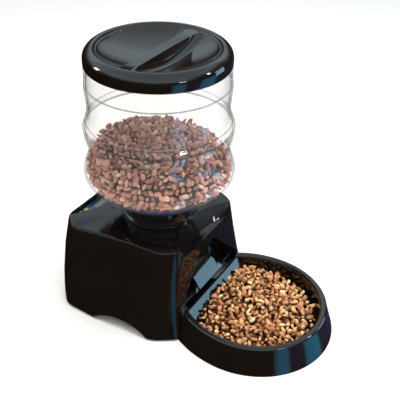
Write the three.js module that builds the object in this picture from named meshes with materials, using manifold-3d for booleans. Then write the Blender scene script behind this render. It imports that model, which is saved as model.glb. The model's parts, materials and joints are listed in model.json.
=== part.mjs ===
// Automatic pet feeder: a box-shaped base with a food chute and a removable
// bowl in front, a clear food drum on a neck above it, and a lift-off lid.
// Millimetres, +Z up. The bowl is towards -Y and the control panel towards +Y.

import * as THREE from 'three';
import { mergeVertices } from 'three/addons/utils/BufferGeometryUtils.js';
import Module from 'manifold-3d';

const wasm = await Module();
wasm.setup();

// ---- driving dimensions -------------------------------------------------

const GAP = 0.3;             // clearance between pieces that touch
const WALL = 3;              // housing wall

const FOOT_H = 2.5;          // rubber foot below the housing
const BODY_TOP = 136;        // top face of the housing
const FLOOR_Z = 21;          // underside of the bottom plate
const PLATE_T = 3;           // bottom plate
const ARCH_H = 17;           // cut-out between the feet of each side

const SCOOP_Z = 119;         // ledge in front, below the top face
const PANEL_Z = 127;         // floor of the control panel recess
const PANEL_BACK = 103;      // rear edge of that recess

const NECK_R = 53;           // round neck between housing and drum
const NECK_TOP = 172;
const WELL_R = 46.5;         // feed well inside the neck
const WELL_Z = 104;          // underside of the feed well
const WELL_TOP = 164;

const DRUM_BOTTOM = 189;     // clear drum
const DRUM_TOP = 376;
const DRUM_WALL = 2.2;
const LID_R = 97.2;
const LID_Z = 366.7;         // lower edge of the lid's skirt
const LID_TOP = 389;

const BOWL_Y = -162;         // widest line of the bowl
const BOWL_RIM_R = 102.5;    // half widths at the rim and at the floor
const BOWL_FLOOR_R = 113;
const BOWL_FRONT = 1.035;    // the front half is a little longer than round,
const BOWL_REAR = 1.17;      // the rear half longer still
const BOWL_H = 40;
const BOWL_BACK = -91.5;     // straight rear wall of the bowl

const ARCH_TOP = 106;        // tent-shaped food opening
const ARCH_HALF = 80;

const GEAR_MODULE = 1.25;
const GEAR_TEETH = 36;
const PINION_TEETH = 12;
const GEAR_Z = 70;
const GEAR_T = 7;
const GEAR_SPAN = GEAR_MODULE * (GEAR_TEETH + PINION_TEETH) / 2 + 0.4;

const CELL_R = 16.5;         // three round battery cells
const CELL_L = 60;
const CELL_PITCH = 35;

const BUTTON_TRAVEL = 1.2;
const ROUND = 36;            // sides of a large round piece

// ---- materials ----------------------------------------------------------

const plastic = (color, roughness) =>
  new THREE.MeshStandardMaterial({ color, roughness, metalness: 0 });
const metal = (color, roughness) =>
  new THREE.MeshStandardMaterial({ color, roughness, metalness: 1 });

const GLOSS_BLACK = plastic(0x12100f, 0.15);
const MATT_BLACK = plastic(0x1b1b1d, 0.55);
const NAVY = plastic(0x232058, 0.25);
const RUBBER = plastic(0x161616, 0.9);
const WHITE_PLASTIC = plastic(0xd9d9d4, 0.45);
const BLUE_PANEL = plastic(0x2c4668, 0.3);
const YELLOW = plastic(0xd0b64a, 0.4);
const GREEN_BOARD = plastic(0x1f5c38, 0.5);
const LCD_GREY = plastic(0x7f9c8d, 0.3);
const STEEL = metal(0xb4b6b8, 0.35);
const BRASS = metal(0xc0a060, 0.35);
const CLEAR = new THREE.MeshStandardMaterial({
  color: 0xf2f6f8, roughness: 0.05, metalness: 0, transparent: true, opacity: 0.3,
});

// ---- solids -------------------------------------------------------------

function toSolid(geometry) {
  const g = geometry.clone();
  g.deleteAttribute('normal');
  g.deleteAttribute('uv');
  const merged = mergeVertices(g, 1e-4);
  return new wasm.Manifold(new wasm.Mesh({
    numProp: 3,
    vertProperties: Float32Array.from(merged.attributes.position.array),
    triVerts: Uint32Array.from(merged.index.array),
  }));
}

function toGeometry(solid) {
  const mesh = solid.getMesh();
  const g = new THREE.BufferGeometry();
  const position = new Float32Array(mesh.numVert * 3);
  for (let i = 0; i < mesh.numVert; i++) {
    for (let k = 0; k < 3; k++) {
      position[3 * i + k] = mesh.vertProperties[mesh.numProp * i + k];
    }
  }
  g.setAttribute('position', new THREE.BufferAttribute(position, 3));
  g.setIndex(new THREE.BufferAttribute(Uint32Array.from(mesh.triVerts), 1));
  g.computeVertexNormals();
  return g;
}

// first piece, with the others cut away or joined on
function cut(base, ...tools) {
  return tools.reduce((a, b) => a.subtract(toSolid(b)), toSolid(base));
}

function join(base, ...others) {
  return others.reduce((a, b) => a.add(toSolid(b)), toSolid(base));
}

function box(x0, x1, y0, y1, z0, z1) {
  return new THREE.BoxGeometry(x1 - x0, y1 - y0, z1 - z0)
    .translate((x0 + x1) / 2, (y0 + y1) / 2, (z0 + z1) / 2);
}

function post(r, x, y, z0, z1, sides = 24) {
  return new THREE.CylinderGeometry(r, r, z1 - z0, sides)
    .rotateX(Math.PI / 2)
    .translate(x, y, (z0 + z1) / 2);
}

// a round bar along Y
function barY(r, x, z, y0, y1, sides = 24) {
  return new THREE.CylinderGeometry(r, r, y1 - y0, sides)
    .translate(x, (y0 + y1) / 2, z);
}

// a body of revolution about Z from [radius, height] points, anticlockwise in
// the radius-height plane; it closes on itself or on the axis
function turned(points, sides = ROUND) {
  const profile = points.map(([r, z]) => new THREE.Vector2(r, z));
  const first = profile[0];
  const last = profile[profile.length - 1];
  if (first.x > 0 || last.x > 0) profile.push(first.clone());
  return new THREE.LatheGeometry(profile, sides).rotateX(Math.PI / 2);
}

function shapeOf(points) {
  return new THREE.Shape(points.map(([x, y]) => new THREE.Vector2(x, y)));
}

// an outline in the XY plane raised from z0 to z1
function prism(points, z0, z1, holes = []) {
  const shape = shapeOf(points);
  holes.forEach((h) => shape.holes.push(new THREE.Path(shapeOf(h).getPoints())));
  return new THREE.ExtrudeGeometry(shape, { depth: z1 - z0, bevelEnabled: false })
    .translate(0, 0, z0);
}

// an outline of [x, z] points, extruded along Y
function prismY(points, y0, y1) {
  return new THREE.ExtrudeGeometry(shapeOf(points), { depth: y1 - y0, bevelEnabled: false })
    .rotateX(Math.PI / 2)
    .translate(0, y1, 0);
}

// an outline of [y, z] points, extruded along X
function prismX(points, x0, x1) {
  return new THREE.ExtrudeGeometry(shapeOf(points), { depth: x1 - x0, bevelEnabled: false })
    .applyMatrix4(new THREE.Matrix4().set(0, 0, 1, x0, 1, 0, 0, 0, 0, 1, 0, 0, 0, 0, 0, 1));
}

// a solid through a stack of outlines that all have the same number of points
function loft(levels) {
  const steps = levels.length - 1;
  const base = levels[0].outline;
  const g = new THREE.ExtrudeGeometry(shapeOf(base), { depth: steps, steps, bevelEnabled: false });
  const position = g.attributes.position;
  for (let i = 0; i < position.count; i++) {
    const gaps = base.map(([x, y]) => Math.hypot(x - position.getX(i), y - position.getY(i)));
    const level = levels[Math.round(position.getZ(i))];
    const [x, y] = level.outline[gaps.indexOf(Math.min(...gaps))];
    position.setXYZ(i, x, y, level.z);
  }
  return g;
}

const lerp = (a, b, t) => a + (b - a) * t;

// mirror the +X half of an outline, which runs from front to rear
function mirrored(half) {
  return [...half, ...half.slice().reverse().map(([x, y]) => [-x, y])];
}

// corners of an outline rounded with radius r
function rounded(points, r, segments = 3) {
  const out = [];
  const n = points.length;
  for (let i = 0; i < n; i++) {
    const p = new THREE.Vector2(...points[i]);
    const a = new THREE.Vector2(...points[(i + n - 1) % n]).sub(p);
    const b = new THREE.Vector2(...points[(i + 1) % n]).sub(p);
    const reach = Math.min(r, a.length() * 0.45, b.length() * 0.45);
    const from = p.clone().add(a.setLength(reach));
    const to = p.clone().add(b.setLength(reach));
    new THREE.QuadraticBezierCurve(from, p, to).getPoints(segments)
      .forEach((q) => out.push([q.x, q.y]));
  }
  return out;
}

// the same outline moved inwards by d
function inset(points, d) {
  const n = points.length;
  return points.map((p, i) => {
    const a = new THREE.Vector2(...points[(i + n - 1) % n]);
    const b = new THREE.Vector2(...points[(i + 1) % n]);
    const along = b.sub(a).normalize();
    return [p[0] - along.y * d, p[1] + along.x * d];
  });
}

// points of a circular arc through (-half, yEnd), (0, yApex) and (half, yEnd)
function arc(half, yEnd, yApex, segments = 16) {
  const sag = yApex - yEnd;
  const r = (half * half + sag * sag) / (2 * Math.abs(sag));
  const sweep = Math.asin(half / r);
  const centre = yApex - Math.sign(sag) * r;
  return Array.from({ length: segments + 1 }, (_, i) => {
    const a = lerp(-sweep, sweep, i / segments);
    return [r * Math.sin(a), centre + Math.sign(sag) * r * Math.cos(a)];
  });
}

// ---- the assembly -------------------------------------------------------

const group = new THREE.Group();
group.name = 'pet_feeder';

function add(name, shape, material) {
  const geometry = shape.isBufferGeometry ? shape : toGeometry(shape);
  const mesh = new THREE.Mesh(geometry, material);
  mesh.name = name;
  group.add(mesh);
  return mesh;
}

// ---- housing ------------------------------------------------------------

const TOP_HALF = [[75, -78], [88, -57], [90, -10], [95, 25], [106, 80], [82, 106.5]];
const FOOT_HALF = [[100, -97], [121, -62], [125, -8], [127, 34], [124, 88], [100, 113]];
const BULGE = 3.5;           // the walls swell a little between top and foot

const CORNER_FLARE = 0.6;    // the front corners spread mostly near the foot

function bodyOutline(t, shrink = 0) {
  const half = TOP_HALF.map(([x, y], i) => {
    const swell = i ? 4 * t * (1 - t) * BULGE : 0;
    const rise = i ? t : Math.max(t, 0) ** CORNER_FLARE;
    const [fx, fy] = FOOT_HALF[i];
    return [lerp(fx, x, rise) + swell * 0.8, lerp(fy, y, rise) + swell * (i > 3 ? 0.8 : 0)];
  });
  const outline = rounded(mirrored(half), 9);
  return shrink ? inset(outline, shrink) : outline;
}

function bodyLevels(z0, z1, shrink, edge) {
  const heights = [z0, lerp(z0, z1, 0.13), lerp(z0, z1, 0.33), lerp(z0, z1, 0.67)];
  const levels = heights.map((z) => ({ z, outline: bodyOutline(z / BODY_TOP, shrink) }));
  for (const [drop, pull] of edge) {
    const z = z1 - drop;
    levels.push({ z, outline: bodyOutline(z / BODY_TOP, shrink + pull) });
  }
  return levels;
}

// the hollow wedge cut into the top face: an arc in the face, a shorter arc at
// the ledge below it, and open or closed towards yOut
function scoop({ half, yEnd, apex, ledgeHalf, ledgeEnd, ledgeApex, ledgeZ, yOut, up = 20 }) {
  const close = (pts, w) => [...pts, [w, yOut], [-w, yOut]];
  const slope = (BODY_TOP - ledgeZ);
  const lower = close(arc(ledgeHalf, ledgeEnd, ledgeApex), ledgeHalf);
  const upper = close(arc(half, yEnd, apex), half);
  const higher = upper.map(([x, y], i) => [
    x + (x - lower[i][0]) * up / slope, y + (y - lower[i][1]) * up / slope]);
  const turn = yOut < yEnd ? (o) => o.slice().reverse() : (o) => o;
  return loft([
    { z: ledgeZ, outline: turn(lower) },
    { z: BODY_TOP, outline: turn(upper) },
    { z: BODY_TOP + up, outline: turn(higher) },
  ]);
}

const frontScoop = (grow = 0) => scoop({
  half: 74 + grow, yEnd: -78.5, apex: -48 + grow,
  ledgeHalf: 59 + grow, ledgeEnd: -78.5, ledgeApex: -67 + grow,
  ledgeZ: SCOOP_Z - grow, yOut: -130,
});
const panelScoop = (grow = 0) => scoop({
  half: 80 + grow, yEnd: 101 - grow, apex: 72 - grow,
  ledgeHalf: 73 + grow, ledgeEnd: 101 - grow, ledgeApex: 80 - grow,
  ledgeZ: PANEL_Z - grow, yOut: PANEL_BACK + grow,
});

// tent-shaped food opening: straight slopes up to a rounded crown
function tent(shrink = 0, foot = 36) {
  const half = ARCH_HALF - shrink;
  const crown = ARCH_TOP - shrink * 1.1;
  const right = [[half, foot], [half, 44], [52, lerp(crown, 44, 0.58)], [27, crown - 6]];
  const top = [[14, crown - 0.8], [0, crown]];
  const left = [...right.slice().reverse().map(([x, z]) => [-x, z])];
  return [...right, ...top, [-14, crown - 0.8], ...left].slice(0, -1).concat([[-half, foot]]);
}

const SCREW_SPOTS = [[84, -34], [-84, -34], [92, 62], [-92, 62]];
const MIC_SPOT = [-36, 61];
const LAMP_SPOT = [-48, 53];
const BUTTON_SPOTS = {
  button_mode: [-53, 96.8, 3.8],
  button_record: [-63.5, 99, 2.4],
  button_up: [53, 96.8, 3.8],
  button_down: [63.5, 99, 2.4],
};
const SPEAKER = { x: 0, z: 90, r: 20 };
const JACK = { x: 62, z: 78 };

function housing() {
  const outer = toSolid(loft(bodyLevels(FOOT_H, BODY_TOP, 0, [[3.2, 0], [0.9, 0.9], [0, 3.2]])));
  const hollow = toSolid(loft(bodyLevels(-5, BODY_TOP - WALL, WALL, [[0, 0]])))
    .subtract(toSolid(frontScoop(WALL)))
    .subtract(toSolid(panelScoop(WALL)));
  let body = outer.subtract(hollow)
    .subtract(toSolid(frontScoop()))
    .subtract(toSolid(panelScoop()));
  for (const [x, y] of SCREW_SPOTS) {
    const boss = toSolid(post(6, x, y, FLOOR_Z + PLATE_T + GAP, BODY_TOP - 2, 16));
    body = body.add(boss.intersect(outer));
    body = body.subtract(toSolid(post(2.3, x, y, 0, FLOOR_Z + 20, 12)));
  }
  body = body.subtract(toSolid(post(WELL_R + 2, 0, 0, 125, 145, ROUND)));
  body = body.subtract(toSolid(prismY(tent(), -110, -66)));
  // the bowl's rear corners pass under the front wall
  body = body.subtract(toSolid(prismY(
    [[-ARCH_HALF, -5], [ARCH_HALF, -5], [ARCH_HALF, 37], [-ARCH_HALF, 37]], -120, -70)));
  // arches between the feet
  const archSide = [[-59, -5], ...arc(49, 0, ARCH_H, 12).map(([s, z]) => [s - 8, z]), [43, -5]];
  body = body.subtract(toSolid(prismX(archSide, -150, 150)));
  body = body.subtract(toSolid(box(-39, 39, 87, 101, 118, 130)));
  for (const [x, y, r] of Object.values(BUTTON_SPOTS)) {
    body = body.subtract(toSolid(post(r + 0.5, x, y, 118, 130, 16)));
  }
  body = body.subtract(toSolid(post(1.6, ...MIC_SPOT, 128, 140, 12)));
  body = body.subtract(toSolid(post(1.9, ...LAMP_SPOT, 128, 140, 12)));
  for (let row = -3; row <= 3; row++) {
    const z = SPEAKER.z + row * 4.5;
    const reach = Math.sqrt(SPEAKER.r ** 2 - (row * 4.5) ** 2) - 3;
    body = body.subtract(toSolid(box(-reach, reach, 100, 130, z - 1, z + 1)));
  }
  body = body.subtract(toSolid(barY(5.6, JACK.x, JACK.z, 98, 130, 20)));
  return body;
}
add('housing', housing(), GLOSS_BLACK);

// ---- bottom plate with its feet and screws ------------------------------

const BOWL_SLOT = -66;       // the bowl's tongue reaches back to here
const BATTERY = { x: 57, y0: 33, y1: 101 };
const DOOR = { x: 52, y0: 37, y1: 97 };
const FOOT_SPOTS = [[98, -66], [-98, -66], [103, 87], [-103, 87]];

function plateOutline() {
  return inset(bodyOutline(FLOOR_Z / BODY_TOP), WALL + 1.6);
}

function bottomPlate() {
  let plate = toSolid(prism(plateOutline(), FLOOR_Z, FLOOR_Z + PLATE_T));
  for (const [x, y] of FOOT_SPOTS) {
    plate = plate.add(toSolid(post(8, x, y, FOOT_H + GAP, FLOOR_Z + 1, 24)));
  }
  plate = plate.subtract(toSolid(box(-DOOR.x, DOOR.x, DOOR.y0, DOOR.y1, 10, 30)));
  // step back behind the bowl, with an apron up to the chute
  plate = plate.subtract(toSolid(box(-78, 78, -120, BOWL_SLOT, 10, 30)));
  plate = plate.add(toSolid(box(-77, 77, BOWL_SLOT, BOWL_SLOT + 2, FLOOR_Z, 35.6)));
  for (const [x, y] of SCREW_SPOTS) {
    plate = plate.subtract(toSolid(post(2.3, x, y, 10, 30, 12)));
  }
  return plate;
}
add('bottom_plate', bottomPlate(), MATT_BLACK);

FOOT_SPOTS.forEach(([x, y], i) => {
  const r = 7.5;
  add(`rubber_foot_${i + 1}`, turned([
    [0, 0], [r - 1, 0], [r, 0.8], [r, FOOT_H], [0, FOOT_H]], 24).translate(x, y, 0), RUBBER);
});

SCREW_SPOTS.forEach(([x, y], i) => {
  const top = FLOOR_Z - GAP;
  const head = turned([
    [0, top - 2.4], [2.6, top - 2.4], [4, top - 1.2], [4, top], [1.9, top],
    [1.9, top + 14], [0, top + 15]], 16).translate(x, y, 0);
  const slot = (w, l) => box(x - l, x + l, y - w, y + w, top - 4, top - 1.2);
  add(`case_screw_${i + 1}`, cut(head, slot(0.5, 2), slot(2, 0.5)), STEEL);
});

// ---- battery box --------------------------------------------------------

const CELL_Z = FLOOR_Z + PLATE_T + 2 + CELL_R;

function batteryBox() {
  const z0 = FLOOR_Z + PLATE_T + GAP;
  const z1 = CELL_Z + CELL_R + 3.5;
  const t = 2;
  return cut(
    box(-BATTERY.x, BATTERY.x, BATTERY.y0, BATTERY.y1, z0, z1),
    box(-BATTERY.x + t, BATTERY.x - t, BATTERY.y0 + t, BATTERY.y1 - t, z0 - 5, z1 - t),
  );
}
add('battery_box', batteryBox(), MATT_BLACK);

for (let i = 0; i < 3; i++) {
  const x = (i - 1) * CELL_PITCH;
  const y0 = (BATTERY.y0 + BATTERY.y1 - CELL_L) / 2;
  const flip = i % 2 ? -1 : 1;
  const cell = turned([
    [0, 0], [CELL_R, 0], [CELL_R, CELL_L - 2], [5, CELL_L - 2], [5, CELL_L], [0, CELL_L]], 28)
    .translate(0, 0, -CELL_L / 2)
    .rotateX(flip * Math.PI / 2)
    .translate(x, y0 + CELL_L / 2, CELL_Z);
  add(`battery_cell_${i + 1}`, cell, i % 2 ? BRASS : MATT_BLACK);
}
for (const [name, y] of [['contact_strip_front', BATTERY.y0 + 2.2],
  ['contact_strip_rear', BATTERY.y1 - 3]]) {
  add(name, box(-50, 50, y, y + 0.8, CELL_Z - 6, CELL_Z + 6), STEEL);
}

function batteryDoor() {
  const g = 0.5;
  const plate = box(-DOOR.x + g, DOOR.x - g, DOOR.y0 + g, DOOR.y1 - g, FLOOR_Z, FLOOR_Z + PLATE_T);
  const groove = [-12, -4, 4, 12].map((x) => box(x - 1, x + 1, 45, 60, FLOOR_Z - 1, FLOOR_Z + 1));
  return cut(plate, ...groove);
}
add('battery_door', batteryDoor(), MATT_BLACK);

// ---- food path: neck, well, rotor, chute --------------------------------

add('neck_collar', turned([
  [WELL_R + 1, BODY_TOP + GAP], [NECK_R + 1.5, BODY_TOP + GAP], [NECK_R + 1.5, BODY_TOP + 5],
  [NECK_R - 1.5, BODY_TOP + 7], [NECK_R - 1.5, BODY_TOP + 16], [NECK_R, BODY_TOP + 17.5],
  [NECK_R, NECK_TOP], [WELL_R + 1, NECK_TOP]]), GLOSS_BLACK);

function feedWell() {
  const cup = turned([
    [0, WELL_Z], [WELL_R, WELL_Z], [WELL_R, WELL_TOP], [WELL_R - 2.5, WELL_TOP],
    [WELL_R - 2.5, WELL_Z + 3], [0, WELL_Z + 3]]);
  // the outlet is a quarter of a ring towards the front
  const mouth = [...arc(26, -30, -38, 8), [12, -14], [-12, -14]].reverse();
  return cut(cup, prism(mouth, WELL_Z - 5, WELL_Z + 8), post(7.3, 0, 0, 95, 115, 20));
}
add('feed_well', feedWell(), MATT_BLACK);

add('shaft_bush', turned([
  [4.4, WELL_Z - 3], [9.5, WELL_Z - 3], [9.5, WELL_Z - GAP], [7, WELL_Z - GAP],
  [7, WELL_Z + 3], [4.4, WELL_Z + 3]], 24), BRASS);

const ROTOR_R = WELL_R - 4;
function rotor() {
  const z0 = WELL_Z + 3.6;
  const z1 = z0 + 26;
  let body = cut(turned([
    [0, z0], [11, z0], [11, z1], [7, z1 + 9], [0, z1 + 11]], 24), post(4.2, 0, 0, 80, z1 - 2, 20));
  for (let i = 0; i < 6; i++) {
    const vane = box(8, ROTOR_R, -1.5, 1.5, z0, z1).rotateZ((i + 0.5) * Math.PI / 3);
    body = body.add(toSolid(vane));
  }
  return body;
}
add('rotor', rotor(), WHITE_PLASTIC);

add('rotor_shaft', post(4, 0, 0, 64, WELL_Z + 3 + 22, 20), STEEL);

// the trough starts under the well and ends in a steep lip above the bowl
const LIP_TOP = { y: -77.5, z: 56, half: 28 };
const LIP_FOOT = { y: -87, z: 41, half: 38 };

function trough() {
  const t = 2.2;
  const start = { y: -11, z: 97 };
  const floor = [
    [start.y, start.z], [start.y, start.z - t], [LIP_TOP.y + 1, LIP_TOP.z - t],
    [LIP_FOOT.y + 1.6, LIP_FOOT.z - 1], [LIP_FOOT.y, LIP_FOOT.z], [LIP_TOP.y, LIP_TOP.z]];
  const w = LIP_TOP.half;
  let body = toSolid(prismX(floor, -w, w));
  // the lip widens towards its lower edge
  const slope = Math.atan2(LIP_TOP.z - LIP_FOOT.z, LIP_TOP.y - LIP_FOOT.y);
  for (const side of [-1, 1]) {
    const run = Math.hypot(LIP_TOP.z - LIP_FOOT.z, LIP_TOP.y - LIP_FOOT.y);
    const flat = [[w - 1, 0], [LIP_FOOT.half, 0], [w - 1, run * 0.98]].map(([x, s]) => [side * x, s]);
    const wedge = prism(side > 0 ? flat : flat.reverse(), -t * 0.8, -0.02)
      .rotateX(slope)
      .translate(0, LIP_FOOT.y, LIP_FOOT.z);
    body = body.add(toSolid(wedge));
    // side walls of the trough, inside the housing
    const wall = [[start.y, start.z - t], [start.y, WELL_Z - GAP * 2], [-44, WELL_Z - GAP * 2],
      [-66, 86], [-66, 61.5]];
    body = body.add(toSolid(prismX(wall, side > 0 ? w - t : -w, side > 0 ? w : -w + t)));
  }
  body = body.add(toSolid(box(-w, w, start.y - t, start.y, start.z - t, WELL_Z - GAP * 2)));
  return body;
}
add('chute_trough', trough(), GLOSS_BLACK);

// lining behind the tent-shaped opening: a short hood, closed at the back
// except for the slot that the trough comes through
function chuteHood() {
  const back = -64;
  const outer = prismY(tent(0.4), -81.4, back);
  const inner = prismY(tent(2.6, 38.5), -120, back - 2.5);
  const front = toSolid(loft(bodyLevels(-5, BODY_TOP, WALL + GAP, [[0, 0]])));
  const w = LIP_TOP.half + 0.5;
  return toSolid(outer).intersect(front)
    .subtract(toSolid(inner))
    .subtract(toSolid(box(-w, w, back - 5, back + 5, 56, 89)));
}
add('chute_hood', chuteHood(), GLOSS_BLACK);

// ---- drive --------------------------------------------------------------

function gearOutline(teeth) {
  const pitch = GEAR_MODULE * teeth / 2;
  const tip = pitch + GEAR_MODULE * 0.9;
  const root = pitch - GEAR_MODULE * 1.15;
  const points = [];
  const steps = [[root, 0.27], [tip, 0.4], [tip, 0.6], [root, 0.73]];
  for (let i = 0; i < teeth; i++) {
    for (const [r, part] of steps) {
      const a = (i + part - 0.5) / teeth * 2 * Math.PI;
      points.push([r * Math.cos(a), r * Math.sin(a)]);
    }
  }
  return points;
}

function gear(teeth, bore, hubR, phase) {
  const hub = post(hubR, 0, 0, 0, GEAR_T + 3, 20);
  return toSolid(prism(gearOutline(teeth), 0, GEAR_T))
    .add(toSolid(hub))
    .subtract(toSolid(post(bore, 0, 0, -5, GEAR_T + 8, 20)))
    .rotate([0, 0, phase]);
}

const mainGear = add('drive_gear', gear(GEAR_TEETH, 4.2, 8, 0), WHITE_PLASTIC);
mainGear.position.set(0, 0, GEAR_Z);
const pinion = add('motor_pinion', gear(PINION_TEETH, 1.7, 3.5, 180 / PINION_TEETH), BRASS);
pinion.position.set(GEAR_SPAN, 0, GEAR_Z);

function gearTray() {
  const z0 = GEAR_Z - 5;
  const tray = [[-26, -24], [46, -24], [46, 24], [-26, 24]];
  let body = toSolid(prism(rounded(tray, 8), z0, z0 + 3));
  for (const [x, y] of [[-20, 18], [-20, -18], [40, 18], [40, -18]]) {
    body = body.add(toSolid(post(3.5, x, y, FLOOR_Z + PLATE_T + GAP, z0 + 1, 12)));
  }
  return body
    .subtract(toSolid(post(4.4, 0, 0, 50, 90, 20)))
    .subtract(toSolid(post(7, GEAR_SPAN, 0, 50, 90, 20)));
}
add('gear_tray', gearTray(), MATT_BLACK);

const MOTOR_R = 14;
const MOTOR_TOP = GEAR_Z - 5 - GAP;
add('motor', turned([
  [0, 30], [MOTOR_R - 1, 30], [MOTOR_R, 31], [MOTOR_R, MOTOR_TOP - 1], [MOTOR_R - 1, MOTOR_TOP],
  [6, MOTOR_TOP], [6, MOTOR_TOP + 2.5], [1.5, MOTOR_TOP + 2.5], [1.5, GEAR_Z + GEAR_T + 4],
  [0, GEAR_Z + GEAR_T + 4]], 28).translate(GEAR_SPAN, 0, 0), STEEL);

// ---- electronics --------------------------------------------------------

const BOARD_Z = 112;
add('circuit_board', box(-68, 68, 80, 101, BOARD_Z, BOARD_Z + 1.6), GREEN_BOARD);
add('lcd_module', box(-41, 41, 85.5, 101.5, BOARD_Z + 4, PANEL_Z - WALL - GAP), LCD_GREY);
add('lcd_window', box(-38.6, 38.6, 87.4, 100.6, PANEL_Z - WALL + 0.2, PANEL_Z + 1), CLEAR);

function controlPanel() {
  const edge = arc(71, 101, 80.8, 20);
  const outline = [...edge, [71, PANEL_BACK - 0.5], [-71, PANEL_BACK - 0.5]];
  let plate = toSolid(prism(outline, PANEL_Z + GAP, PANEL_Z + 1.3));
  plate = plate.subtract(toSolid(box(-39, 39, 87, 101, 120, 135)));
  for (const [x, y, r] of Object.values(BUTTON_SPOTS)) {
    plate = plate.subtract(toSolid(post(r + 0.5, x, y, 120, 135, 16)));
  }
  return plate;
}
add('control_panel', controlPanel(), BLUE_PANEL);

for (const [name, [x, y, r]] of Object.entries(BUTTON_SPOTS)) {
  const under = PANEL_Z - WALL - GAP;
  const cap = PANEL_Z + 3.4;
  add(name, turned([
    [0, under - 4], [r * 0.6, under - 4], [r * 0.6, under - 1.4], [r + 1.3, under - 1.4],
    [r + 1.3, under], [r, under], [r, cap - 0.8], [r - 0.8, cap], [0, cap + 0.2]], 16)
    .translate(x, y, 0), name === 'button_mode' ? YELLOW : LCD_GREY);
}

add('microphone', post(4.5, ...MIC_SPOT, BODY_TOP - WALL - 6.4, BODY_TOP - WALL - GAP, 20), STEEL);
add('status_lamp', turned([
  [0, 127], [2.6, 127], [2.6, BODY_TOP - WALL - GAP], [1.5, BODY_TOP - WALL - GAP],
  [1.5, BODY_TOP - 0.8], [0, BODY_TOP + 0.2]], 16).translate(...LAMP_SPOT, 0), YELLOW);

add('speaker', turned([
  [0, 0], [9, 0], [9, 6], [SPEAKER.r, 9], [SPEAKER.r, 12], [SPEAKER.r - 3, 12],
  [5, 8], [0, 9.5]], 32).rotateX(-Math.PI / 2).translate(0, 90, SPEAKER.z), MATT_BLACK);

add('power_jack', cut(
  barY(5.2, JACK.x, JACK.z, 97, 112.5, 20),
  barY(3, JACK.x, JACK.z, 101, 120, 16),
).add(toSolid(box(JACK.x - 7, JACK.x + 7, 90, 99, JACK.z - 6, JACK.z + 6))), MATT_BLACK);

// ---- food drum ----------------------------------------------------------

// outer radius of the drum wall at each height, bottom to top: a swollen foot,
// a waist, a raised hoop and a slight ring below the lid
const DRUM_PROFILE = [
  [76, 189], [90, 191], [100, 196.5], [105.4, 205], [106.3, 213], [104.6, 221],
  [100.6, 232], [97.4, 242], [97.4, 250], [100.6, 261], [102.6, 269],
  [102.6, 281], [99.6, 288.5], [97, 297], [96.6, 314],
  [98.2, 336], [97.2, 342], [97.2, 364], [95, 366.4], [95, DRUM_TOP]];

function drum() {
  const inner = DRUM_PROFILE.map(([r, z], i) => {
    const a = DRUM_PROFILE[Math.max(i - 1, 0)];
    const b = DRUM_PROFILE[Math.min(i + 1, DRUM_PROFILE.length - 1)];
    const run = Math.hypot(b[0] - a[0], b[1] - a[1]);
    return [r - DRUM_WALL * (b[1] - a[1]) / run, z + DRUM_WALL * (b[0] - a[0]) / run];
  });
  inner[0] = [76, DRUM_BOTTOM + DRUM_WALL];
  inner[inner.length - 1][1] = DRUM_TOP;
  return turned([...DRUM_PROFILE, ...inner.reverse()]);
}
add('drum', drum(), CLEAR);

// funnel ring under the drum, which twists onto the neck
const RING_Z = NECK_TOP + GAP;
add('drum_ring', turned([
  [WELL_R - 2, RING_Z], [NECK_R + 3, RING_Z], [NECK_R + 3, RING_Z - 8], [NECK_R + 6, RING_Z - 8],
  [NECK_R + 7, RING_Z + 1], [78, RING_Z + 10], [79.5, RING_Z + 13], [79.5, DRUM_BOTTOM - GAP],
  [75, DRUM_BOTTOM - GAP], [75, DRUM_BOTTOM + 3], [72, DRUM_BOTTOM + 3],
  [72, DRUM_BOTTOM - 2], [WELL_R - 2, RING_Z + 3]]), NAVY);

// ---- lid ----------------------------------------------------------------

const GRIP_HALF = 7.8;       // grip bar between the two finger scoops,
const GRIP_Y = -4;           // a little in front of the middle
const DISC_R = 80;

function lid() {
  const shell = turned([
    [0, 362], [70, 362], [74, 366], [92, 372], [92, 378.6], [95.4, 378.6],
    [95.4, LID_Z], [LID_R - 0.4, LID_Z], [LID_R, 369], [LID_R, 376], [96.2, 380.5],
    [94, 384.2], [90.6, 387.2], [86.5, LID_TOP], [83, 388.6], [DISC_R, 385.6], [0, 385.6]]);
  let body = toSolid(shell);
  for (const side of [-1, 1]) {
    // each scoop falls from the rim of the disc towards the grip bar
    const start = GRIP_HALF + side * GRIP_Y;
    const fall = prismX([[start, 366.5], [DISC_R + 4, 386.5], [DISC_R + 4, 400],
      [start, 400]], -90, 90);
    const within = turned([[0, 350], [DISC_R - 1, 350], [DISC_R - 1, 410], [0, 410]]);
    const wedge = toSolid(fall.rotateZ(side > 0 ? 0 : Math.PI)).intersect(toSolid(within));
    body = body.subtract(wedge);
  }
  // the underside is hollow
  const under = turned([[0, 350], [66, 350], [66, 363.6], [0, 363.6]]);
  return body.subtract(toSolid(under));
}
add('lid', lid(), GLOSS_BLACK);

add('lid_seal', turned([
  [92.5, DRUM_TOP + GAP], [95, DRUM_TOP + GAP], [95, DRUM_TOP + 2.2],
  [92.5, DRUM_TOP + 2.2]]), RUBBER);

// ---- bowl ---------------------------------------------------------------

const BOWL_WALL = 2.6;

// a turned shape with its front and rear halves stretched to the bowl's outline
function bowlTurned(profile) {
  const shape = turned(profile);
  const at = shape.getAttribute('position');
  for (let i = 0; i < at.count; i++) {
    const y = at.getY(i);
    at.setY(i, y * (y < 0 ? BOWL_FRONT : BOWL_REAR) + BOWL_Y);
  }
  return shape;
}

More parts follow.
